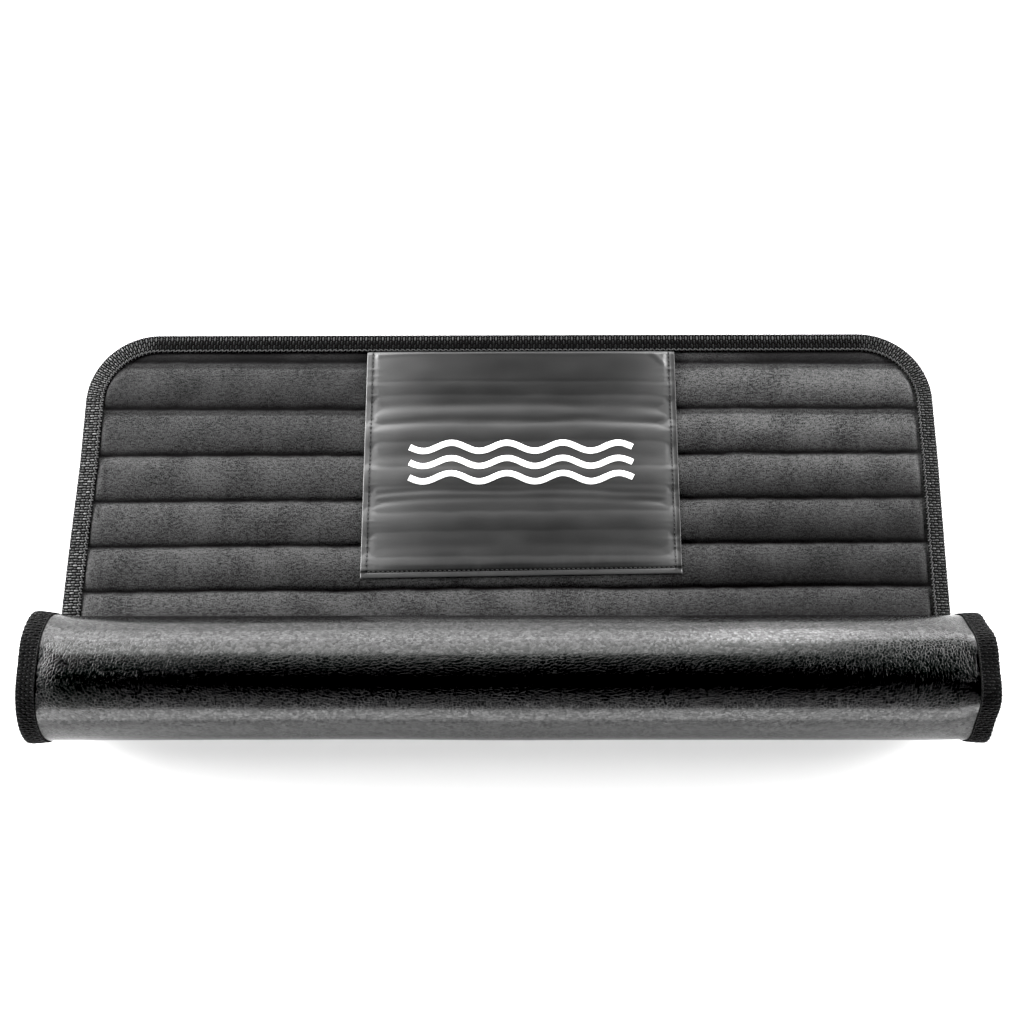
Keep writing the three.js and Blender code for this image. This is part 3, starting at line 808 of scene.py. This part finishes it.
# Lockstitch through the tape: a zigzag of pale thread on the velour side, a straight dark row below
def makeTapeStitches():
    stitch = tapeStitch
    count = int(wayLength / stitch["pitch"])
    p = (np.arange(count) + 0.5) * wayLength / count
    zigzag = np.where(np.arange(count) % 2, stitch["zigzag"], -stitch["zigzag"])
    shownRow = sectionLength - stitch["inset"], zigzag, stitch["length"], stitch["width"], stitch["lift"]
    lowRow = stitch["lowInset"], 0 * zigzag, stitch["lowLength"], stitch["lowWidth"], stitch["lowLift"]
    points, groups, start = [], [], 0
    for inset, turn, length, width, lift in (shownRow, lowRow):
        x, y, h, faces = spindles(p, np.full(count, inset), turn, length, width, -threadHalf, threadHalf)
        points.append(onTape(x % wayLength, y, h + lift).reshape(-1, 3))
        groups += [group + start for group in faces]
        start += x.size
    kinds = np.repeat([0, 1], sum(len(group) for group in groups) // 2)
    threads = [threadMaterial("tapeThread", "#2c2c2c"), threadMaterial("tapeLowerThread", "#0b0b0b")]
    piece = makePiece("tapeStitches", np.concatenate(points), groups, threads, kinds)
    finishPiece(piece, "tape_thread")


# Straight rows of stitches, sunk a little into the notch of each seam
def makeQuiltStitches():
    thread = threadMaterial("quiltingThread", "#030303")
    stitch = {"pitch": 5.2, "length": 4.4, "width": 0.9, "sunk": 0.4, "border": 2.0}
    names = sorted(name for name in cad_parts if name.startswith("quilt_thread_"))
    seams = quilt["firstSeam"] + quilt["pitch"] * np.arange(len(names))
    for name, seam in zip(names, seams):
        reach = float(halfAt(np.array(seam), tape["width"] + stitch["border"]))
        count = int(2 * reach / stitch["pitch"])
        u = -reach + (np.arange(count) + 0.5) * 2 * reach / count
        slope = (stray(u + 1, seam) - stray(u - 1, seam)) / 2
        x, y, h, faces = spindles(u, seam + stray(u, seam), np.arctan(slope), stitch["length"],
                                  stitch["width"], -threadHalf, threadHalf)
        points = np.stack([x, y, velourLevel(x, y) - stitch["sunk"] + h], -1)
        piece = makePiece(name.replace("quilt_thread_", "quiltStitches"), points, faces, [thread])
        finishPiece(piece, name)


patch = {
    "left": -152.6, "right": 180.4,
    "start": 11.5, "end": 271.5,
    "skew": 0.0148,              # the near hem runs a little askew
    "thickness": 0.6,
    "hem": 4.2,                  # folded hem that stands up outside the stitches
    "hemFall": 2.0,
    "hemRise": 0.5,
    "hemRound": 0.45, "hemRadius": 0.6,
    "hemStart": 6.0,             # run over which it comes out from under the tape
    "sunk": 0.4,                 # depth and half width of the stitched line
    "sunkWidth": 0.8,
    "stitchInset": 6.4,
    "stitchPitch": 4.9, "stitchLength": 3.2, "stitchWidth": 1.6,
    "span": 0.8,                 # how much of a groove the cloth bridges
    "sewnSpan": 0.4,             # share of that lost at the stitches
    "sewnReach": 5.0,
    "belly": 3.4,                # how far the cloth stands off between its stitches
    "bellySide": 75.0,           # how far in from a side it gets there
    "bellyEnd": 6.0,             # and from the near end, where part of it comes at once
    "bellyQuick": 0.35,
    "bellySlow": 75.0,
    "rise": 5.0,                 # run from the tape to full height
    "fullness": 1.6,             # extra height where it comes out from under the tape
    "fullTo": 24.0, "fullFade": 55.0,
    "taut": 66.0,                # the cloth crosses the first groove without dipping
    "tautFade": 12.0,
    "loose": 0.3,                # soft unevenness
    "looseAcross": 30.0, "looseAlong": 16.0,
    "pinch": 0.8,                # height of the small gathers along the stitches
    "pinchPitch": 2.7,
    "pinchReach": 4.5,
    "rows": 198, "columns": 212,
}
patchMiddle = (patch["left"] + patch["right"]) / 2

# Folds that the cloth makes where it bridges a groove: place along the mat, height and half width, in mm
patchFolds = [
    (24.5, 0.3, 2.4), (85.0, -0.8, 5.6), (102.0, -0.75, 4.4), (140.0, -0.5, 6.5),
    (180.5, -0.55, 3.0), (189.5, -0.8, 3.6), (239.0, -0.5, 6.0),
]
foldShape = {
    "sag": 5.0,                  # how much nearer a fold's ends lie than its middle
    "wander": 1.2, "wanderLength": 40.0,
    "least": 0.75, "uneven": 0.5, "unevenLength": 55.0,
    "sideFade": 20.0,            # folds are twice as high beside the stitches
    "fadeIn": 7.0,
}
cornerFold = {
    "u": 162.0, "length": 9.0,
    "throughU": 152.0, "throughS": 22.0, "slope": 0.86,
    "height": 1.2, "width": 4.0,
}


# Shift along the mat that sets the near hem askew
def patchSlide(u, s):
    return -patch["skew"] * (u - patchMiddle) * s / patch["end"]


# Distance in from the patch's own edge, the tucked far edge apart
def patchDepth(u, s):
    s = s - patchSlide(u, s)
    return np.minimum(np.minimum(u - patch["left"], patch["right"] - u), patch["end"] - s)


# Distance in from the stitches along the two sides and from those along the near hem
def fromStitches(u, s):
    side = np.minimum(u - patch["left"], patch["right"] - u) - patch["stitchInset"]
    return side, patch["end"] - s + patchSlide(u, s) - patch["stitchInset"]


# Small gathers that run into the stitches from the cloth inside them
def patchPinch(u, s):
    side, end = fromStitches(u, s)
    bySide = softNoise(s / patch["pinchPitch"], 0.5, 35) * np.exp(-np.abs(side) / patch["pinchReach"])
    byEnd = softNoise(u / patch["pinchPitch"], 0.5, 36) * np.exp(-np.abs(end) / patch["pinchReach"])
    return patch["pinch"] * (bySide + byEnd)


# Underside of the patch: the quilting's crowns with its grooves partly bridged, a belly between the
# stitches and the folds, never below the velour
def patchLow(u, s):
    side, end = fromStitches(u, s)
    depth = np.minimum(side, end)
    span = patch["span"] * (1 - patch["sewnSpan"] * np.exp(-((depth / patch["sewnReach"]) ** 2)))
    span = span + (1 - span) * smooth((patch["taut"] - s) / patch["tautFade"])
    field = crownTop - quilt["depth"] * (1 - np.maximum(channelSwell(u, s), span))
    level = edgeTop + (field - edgeTop) * roundRise(pastBorder(u, s), patch["rise"])
    quick = patch["bellyQuick"] * roundRise(end, patch["bellyEnd"])
    byEnd = quick + (1 - patch["bellyQuick"]) * smooth(end / patch["bellySlow"])
    loose = patch["belly"] * roundRise(side, patch["bellySide"]) * byEnd
    loose = loose + patch["fullness"] * (1 - smooth((s - patch["fullTo"]) / patch["fullFade"]))
    loose = loose + patch["loose"] * softNoise(u / patch["looseAcross"], s / patch["looseAlong"], 33)
    loose = (loose + patchFoldHeight(u, s, side)) * smooth(depth / foldShape["fadeIn"])
    share = np.clip(pastBorder(u, s) / patch["rise"], 0, 1)
    lifted = level + (loose + patchPinch(u, s)) * share
    return np.maximum(lifted, np.maximum(level, velourLevel(u, s))) + mat["layerGap"]


# Height of all folds: each a bell across its line, which sags towards its ends, and one slanting bell in
# the patch's far right corner
def patchFoldHeight(u, s, side):
    sag = foldShape["sag"] * (np.abs(u - patchMiddle) / (patch["right"] - patchMiddle)) ** 4
    beside = 1 + np.exp(-np.maximum(side, 0) / foldShape["sideFade"])
    folds = 0
    for k, (place, height, width) in enumerate(patchFolds):
        wave = foldShape["wander"] * softNoise(u / foldShape["wanderLength"], k, 31)
        uneven = foldShape["uneven"] * softNoise(u / foldShape["unevenLength"], k * 3.7, 32)
        bell = np.exp(-(((s - place - sag - wave) / width) ** 2))
        folds = folds + height * (foldShape["least"] + uneven) * beside * bell
    line = s - cornerFold["throughS"] - cornerFold["slope"] * (u - cornerFold["throughU"])
    along = (u - cornerFold["u"]) / cornerFold["length"]
    return folds + cornerFold["height"] * np.exp(-((line / cornerFold["width"]) ** 2) - along**2)


# Face of the patch: its thickness over the underside, more on the folded hem, whose outer edge is rounded,
# and less in the stitched line
def patchHigh(u, s):
    depth = patchDepth(u, s)
    hem = patch["hemRise"] * (1 - smooth((depth - patch["hem"]) / patch["hemFall"]))
    hem = hem * smooth(pastBorder(u, s) / patch["hemStart"])
    sewn = patch["sunk"] * np.exp(-(((depth - patch["stitchInset"]) / patch["sunkWidth"]) ** 2))
    rounded = patch["hemRound"] * np.exp(-depth / patch["hemRadius"])
    return patchLow(u, s) + patch["thickness"] + hem - (sewn + rounded) * (hem > 0)


# Painted light and shade on the satin patch, which scales its paint and its shine
paintedSatinLight = {
    "even": 0.9,
    "sideFrom": 6.0,             # fuller beside the side hems
    "left": 1.4, "leftFade": 42.0,
    "right": 1.1, "rightFade": 30.0,
    "middle": 0.3,               # less in the middle near the tape
    "middleTo": 62.0, "middleFade": 30.0, "middleLeft": 90.0, "middleRight": 60.0,
    "nearHem": 1.2, "nearHemWidth": 3.8, "nearHemFade": 1.0,
    "rightHem": 0.5, "rightHemWidth": 3.0, "rightHemFade": 2.0,
    "line": 0.5, "lineWidth": 1.2,
    "nearLine": 0.9, "nearLineIn": 0.3, "nearLineWidth": 1.8,
    "least": 0.02, "most": 2.4,
}


# Painted light and shade on the satin, which scales its paint and its shine: fuller where the cloth leans to
# its two sides and on the folded near hem, least in the stitched line beside the hems and in the middle near
# the tape
def patchPaintedLight(u, s):
    left, right = u - patch["left"], patch["right"] - u
    end = patch["end"] - s + patchSlide(u, s)
    inLeft, inRight = np.maximum(left - paintedSatinLight["sideFrom"], 0), np.maximum(right - paintedSatinLight["sideFrom"], 0)
    tone = paintedSatinLight["even"] + paintedSatinLight["left"] * np.exp(-inLeft / paintedSatinLight["leftFade"])
    tone = tone + paintedSatinLight["right"] * np.exp(-inRight / paintedSatinLight["rightFade"])
    middle = smooth(left / paintedSatinLight["middleLeft"]) * smooth(right / paintedSatinLight["middleRight"])
    tone = tone - paintedSatinLight["middle"] * (1 - smooth((s - paintedSatinLight["middleTo"]) / paintedSatinLight["middleFade"])) * middle
    nearHem = 1 - smooth((end - paintedSatinLight["nearHemWidth"]) / paintedSatinLight["nearHemFade"])
    rightHem = 1 - smooth((right - paintedSatinLight["rightHemWidth"]) / paintedSatinLight["rightHemFade"])
    tone = tone * (1 + paintedSatinLight["nearHem"] * nearHem) * (1 - paintedSatinLight["rightHem"] * rightHem)
    fromLine = np.minimum(left, right) - patch["stitchInset"]
    fromNearLine = end - patch["stitchInset"] - paintedSatinLight["nearLineIn"]
    tone = tone * (1 - paintedSatinLight["line"] * np.exp(-((fromLine / paintedSatinLight["lineWidth"]) ** 2)))
    tone = tone * (1 - paintedSatinLight["nearLine"] * np.exp(-((fromNearLine / paintedSatinLight["nearLineWidth"]) ** 2)))
    return np.clip(tone, paintedSatinLight["least"], paintedSatinLight["most"])


# Rows and columns lie close together across the hem and its stitches
def makePatch():
    edge = np.array([0, 0.5, 1.2, 2.4, 3.6, 4.4, 5, 5.6, 6.2, 7, 8, 9.4])
    even = np.linspace(patch["start"], patch["end"] - 10, patch["rows"])
    rows = np.concatenate([even, patch["end"] - edge[::-1][1:]])
    width = patch["right"] - patch["left"]
    across = np.linspace(11.2, width - 11.2, patch["columns"])
    spots = np.concatenate([edge, across, width - edge[::-1]])
    coarse = np.concatenate([[0, 8, 16], np.linspace(26, width - 26, 30), [width - 16, width - 8, width]])
    left, right = np.full(len(rows), patch["left"]), np.full(len(rows), patch["right"])
    top, low = (spots / width, patchHigh), (coarse / width, patchLow)
    values = {"paintedSatinLight": patchPaintedLight}
    piece = makeLayer("labelPatch", rows, left, right, top, low, patchSlide, nylonMaterial(), values)
    finishPiece(piece, "label_patch")


# Straight rows of stitches down the left side, along the near hem and back up the right side
def makePatchStitches():
    inset, end = patch["stitchInset"], patch["end"] - patch["stitchInset"]
    left, right, top = patch["left"] + inset, patch["right"] - inset, tape["width"] + 2 * quilt["border"]
    runs = [((left, top), (left, end)), ((left, end), (right, end)), ((right, end), (right, top))]
    u, s, turn = [], [], []
    for (u0, s0), (u1, s1) in runs:
        count = int(np.hypot(u1 - u0, s1 - s0) / patch["stitchPitch"])
        share = (np.arange(count) + 0.5) / count
        u.append(u0 + (u1 - u0) * share)
        s.append(s0 + (s1 - s0) * share)
        turn.append(np.full(count, np.arctan2(s1 - s0, u1 - u0)))
    u, s, turn = (np.concatenate(part) for part in (u, s, turn))
    length, width = patch["stitchLength"], patch["stitchWidth"]
    x, y, h, faces = spindles(u, s, turn, length, width, -threadHalf, threadHalf)
    y = y + patchSlide(x, y)
    points = np.stack([x, y, patchHigh(x, y) + h + 0.05], -1)
    piece = makePiece("patchStitches", points, faces, [threadMaterial("patchThread", "#030303")])
    finishPiece(piece, "patch_thread")


waves = {
    "count": 3,
    "span": 236.0,               # whole width of a band
    "length": 59.0,              # of one wave
    "height": 4.5,
    "stroke": 6.5,
    "spacing": 17.0,
    "centre": 149.0,             # distance from the mat's far edge
    "ink": 0.2,                  # thickness, and the gap below it
    "gap": 0.1,
    "steps": 161, "bands": 9,
}


# Wave of ink: a band across a sine line, laid on the patch's face
def makeWaves():
    ink = inkMaterial()
    middle = (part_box("printed_wave_1")[0].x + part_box("printed_wave_1")[1].x) * 500
    shares = np.linspace(-0.5, 0.5, waves["bands"])
    steps = np.linspace(-waves["span"] / 2, waves["span"] / 2, waves["steps"])
    for k in range(waves["count"]):
        base = waves["centre"] + (k - (waves["count"] - 1) / 2) * waves["spacing"]
        phase = 2 * np.pi * steps / waves["length"]
        slope = waves["height"] * 2 * np.pi / waves["length"] * np.cos(phase)
        across = waves["stroke"] * shares[None, :] / np.hypot(1, slope)[:, None]
        u = (middle + steps)[:, None] - slope[:, None] * across
        s = (base + waves["height"] * np.sin(phase))[:, None] + across
        level = patchHigh(u, s) + waves["gap"]
        high = np.stack([u, s, level + waves["ink"]], -1).reshape(-1, 3)
        low = np.stack([u, s, level], -1).reshape(-1, 3)
        rows, columns = u.shape
        start = rows * columns
        index = np.arange(start).reshape(rows, columns)
        rim = np.concatenate([index[0], index[1:, -1], index[-1, -2::-1], index[-2:0:-1, 0]])
        wall = np.stack([rim, np.roll(rim, -1), np.roll(rim, -1) + start, rim + start], -1)
        faces = [gridFaces(rows, columns)[:, ::-1], gridFaces(rows, columns, start), wall]
        piece = makePiece(f"printedWave{k + 1}", np.concatenate([high, low]), faces, [ink])
        finishPiece(piece, f"printed_wave_{k + 1}")


# Camera of the photograph's view: place in mm, aim in degrees, focal length and sensor in mm
view = {
    "place": (14.441, -322.599, 1261.621),
    "down": 74.744,
    "yaw": -1.670,
    "roll": -1.704,
    "lens": 43.422,
    "sensor": 36.0,
}


def makeCamera():
    down, yaw, roll = (np.radians(view[key]) for key in ("down", "yaw", "roll"))
    ahead = np.array([np.sin(yaw) * np.cos(down), np.cos(yaw) * np.cos(down), -np.sin(down)])
    level = np.array([np.cos(yaw), -np.sin(yaw), 0.0])
    upright = np.cross(level, ahead)
    right = np.cos(roll) * level + np.sin(roll) * upright
    up = -np.sin(roll) * level + np.cos(roll) * upright
    data = bpy.data.cameras.new("camera")
    data.lens, data.sensor_width = view["lens"], view["sensor"]
    data.clip_start, data.clip_end = 0.01, 100
    camera = bpy.data.objects.new("camera", data)
    bpy.context.scene.collection.objects.link(camera)
    turned = Matrix(np.stack([right, up, -ahead], -1).tolist()).to_4x4()
    camera.matrix_world = Matrix.Translation(Vector(view["place"]) * 0.001) @ turned
    bpy.context.scene.camera = camera


# Soft box: a bright rectangle centred on a place in metres, with its back to a direction
def addSoftBox(name, place, back, width, height, radiance):
    data = bpy.data.lights.new(name, "AREA")
    data.shape, data.size, data.size_y = "RECTANGLE", width, height
    data.energy = radiance * np.pi * width * height
    light = bpy.data.objects.new(name, data)
    bpy.context.scene.collection.objects.link(light)
    light.location = place
    light.rotation_euler = Vector(back).to_track_quat("Z", "Y").to_euler()


# Matt white paper as floor, a glow low all round, and soft boxes at the far side and the two ends, which
# the vinyl, the tape and the patch mirror
stage = {
    "reach": 12.0,               # metres
    "drop": 0.0004,              # the floor lies just under the tape's lowest floats
    "glow": 9.4,                 # strength below a height of about 22 degrees, none above it
    "glowFrom": 0.37, "glowTo": 0.39,
    "black": 0.006,              # black point of the display
}

# Place in metres, direction of the back, width, height and radiance
softBoxes = {
    "farSoftBox": ((-0.47, 1.55, 1.55), (0, 1, 0), 2.6, 1.74, 9.0),
    "farSmallBox": ((0.6, 1.5, 0.55), (0, 1, 0), 0.35, 1.0, 10.0),
    "leftSoftBox": ((-1.75, 0.45, 0.55), (-0.97, 0.25, 0), 1.2, 1.0, 32.0),
    "rightSoftBox": ((1.75, 0.45, 0.55), (0.97, 0.25, 0), 1.2, 1.0, 24.0),
}


def makeStage():
    floorMesh = bpy.data.meshes.new("floor")
    reach, low = stage["reach"], -stage["drop"]
    corners = [(-reach, -reach, low), (reach, -reach, low), (reach, reach, low), (-reach, reach, low)]
    floorMesh.from_pydata(corners, [], [(0, 1, 2, 3)])
    floor = bpy.data.objects.new("floor", floorMesh)
    bpy.context.scene.collection.objects.link(floor)
    surface = {"Base Color": colour("#fafafa"), "Roughness": 0.9, "Specular IOR Level": 0.1}
    floorMesh.materials.append(newMaterial("seamlessPaper", surface)[0])
    world = bpy.data.worlds.new("studio")
    world.use_nodes = True
    tree = world.node_tree
    aim = addNode(tree, "ShaderNodeTexCoord", {}).outputs["Generated"]
    height = addNode(tree, "ShaderNodeSeparateXYZ", {"Vector": aim}).outputs["Z"]
    glow = {"Value": height, "From Min": stage["glowFrom"], "From Max": stage["glowTo"],
            "To Min": stage["glow"], "To Max": 0.0}
    strength = addNode(tree, "ShaderNodeMapRange", glow).outputs[0]
    tree.links.new(strength, tree.nodes["Background"].inputs["Strength"])
    tree.nodes["Background"].inputs["Color"].default_value = colour("#ffffff")
    bpy.context.scene.world = world
    for name, box in softBoxes.items():
        addSoftBox(name, *box)
    display = bpy.context.scene.view_settings
    display.view_transform = "Standard"
    display.use_curve_mapping = True
    display.curve_mapping.black_level = [stage["black"]] * 3


makeCamera()
makeStage()
print("camera and stage made")
makeBacking()
makeFoam()
makeVelour()
print("layers made")
makeTape()
makeTapeStitches()
makeQuiltStitches()
print("tape and stitches made")
makePatch()
makePatchStitches()
makeWaves()
print("patch made")
